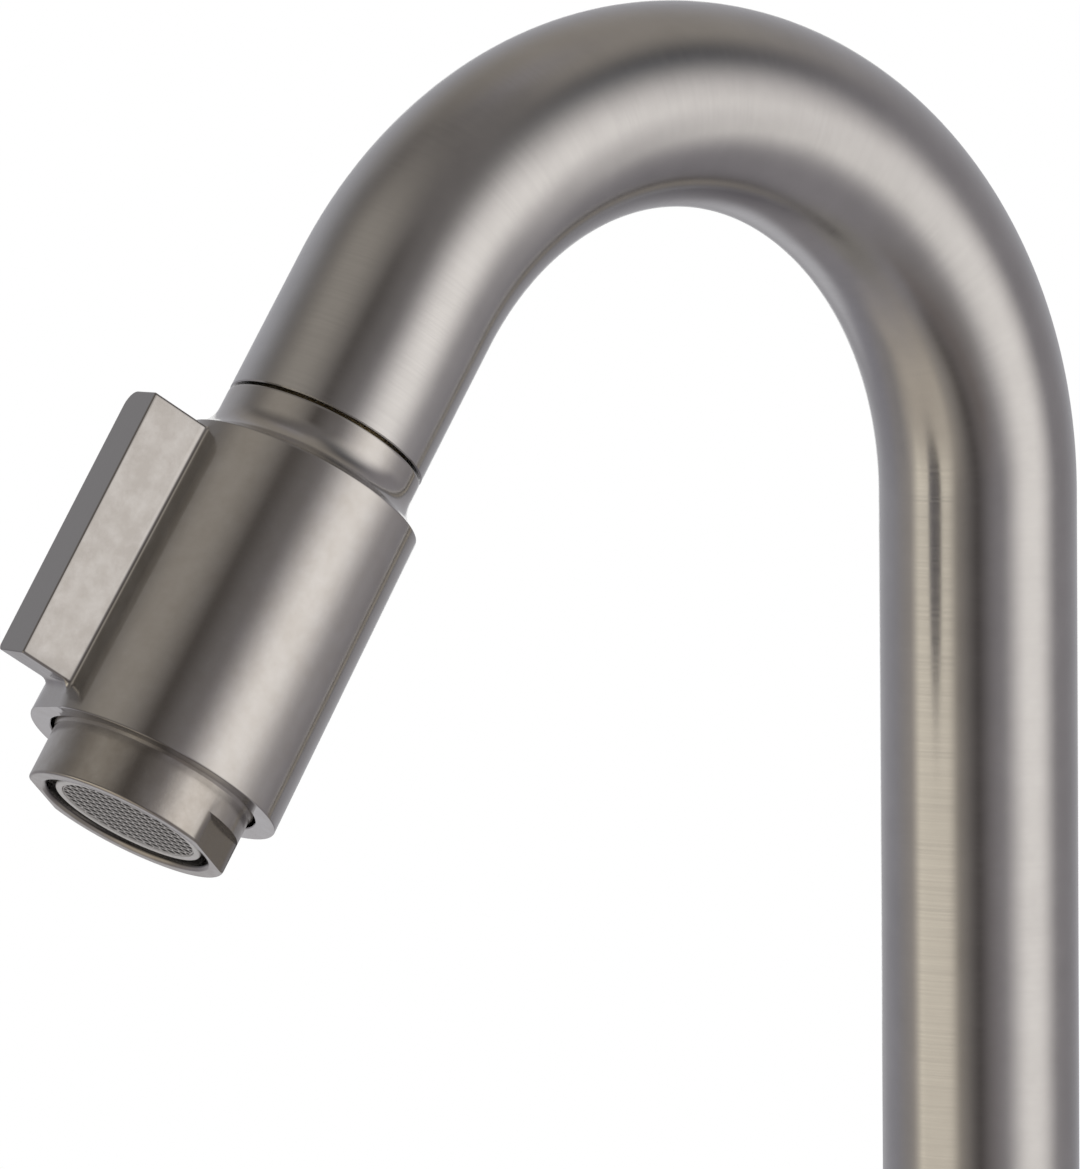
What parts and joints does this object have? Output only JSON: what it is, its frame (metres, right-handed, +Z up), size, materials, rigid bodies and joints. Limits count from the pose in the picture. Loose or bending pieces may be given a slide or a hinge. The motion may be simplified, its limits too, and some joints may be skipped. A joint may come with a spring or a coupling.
{
  "type": "basin tap",
  "caption": "Gooseneck cold-water basin tap with a lever sleeve turning on the spout's tip, a ceramic disc valve inside it and a screwed aerator.",
  "frame": {"origin": "centre of the tap hole on top of the basin deck, under the foot gasket", "axes": "+Z up along the column, the spout reaches towards -Y, +X to the side of the lever that the picture shows"},
  "size_m": [0.044, 0.1493, 0.27],
  "materials": {
    "brushed_steel": "brushed",
    "machined_steel": "satin",
    "brass": "machined",
    "zinc_steel": "matte",
    "rubber": "matte",
    "ceramic": "polished",
    "white_plastic": "matte",
    "grey_plastic": "matte",
    "black_steel": "oxide"
  },
  "bodies": {
    "spout": {"spout_tube": "brushed_steel", "tail_adapter": "brass", "foot_collar": "brushed_steel", "foot_oring": "rubber", "deck_gasket": "rubber", "clamp_washer_rubber": "rubber", "clamp_washer_steel": "zinc_steel", "back_nut": "brass", "tip_socket": "brass", "cartridge_body": "brass", "body_oring": "rubber", "neck_bush": "white_plastic", "seat_seal": "rubber", "fixed_disc": "ceramic", "stop_ring": "machined_steel", "thrust_washer": "white_plastic", "gland_nut": "brass"},
    "handle": {"turning_disc": "ceramic", "spindle": "brass", "spindle_orings": "rubber", "nipple_oring": "rubber", "outlet_nipple": "brass", "turn_sleeve": "brushed_steel", "sleeve_grub_screw": "black_steel"},
    "aerator_insert": {"aerator_seal": "rubber", "aerator_cage": "grey_plastic", "jet_plate": "white_plastic", "inlet_sieve": "white_plastic", "outlet_grid": "grey_plastic"},
    "aerator_shell": {"aerator_housing": "brushed_steel"}
  },
  "joints": [
    {"name": "handle_turn", "type": "hinge", "parent": "spout", "child": "handle", "pos_m": [0, -0.0897, 0.17593], "axis": [0, -0.5592, -0.829], "range_deg": [0, 90]},
    {"name": "aerator_draw", "type": "slide", "parent": "handle", "child": "aerator_insert", "axis": [0, -0.5592, -0.829], "range_m": [0, 0.004]},
    {"name": "aerator_unscrew", "type": "hinge", "parent": "aerator_insert", "child": "aerator_shell", "pos_m": [0, -0.11375, 0.14028], "axis": [0, -0.5592, -0.829], "range_deg": [0, 1440]}
  ],
  "couplings": [
    {"joint": "aerator_draw", "follows": "aerator_unscrew", "m_per_rad": 0.00015915}
  ]
}
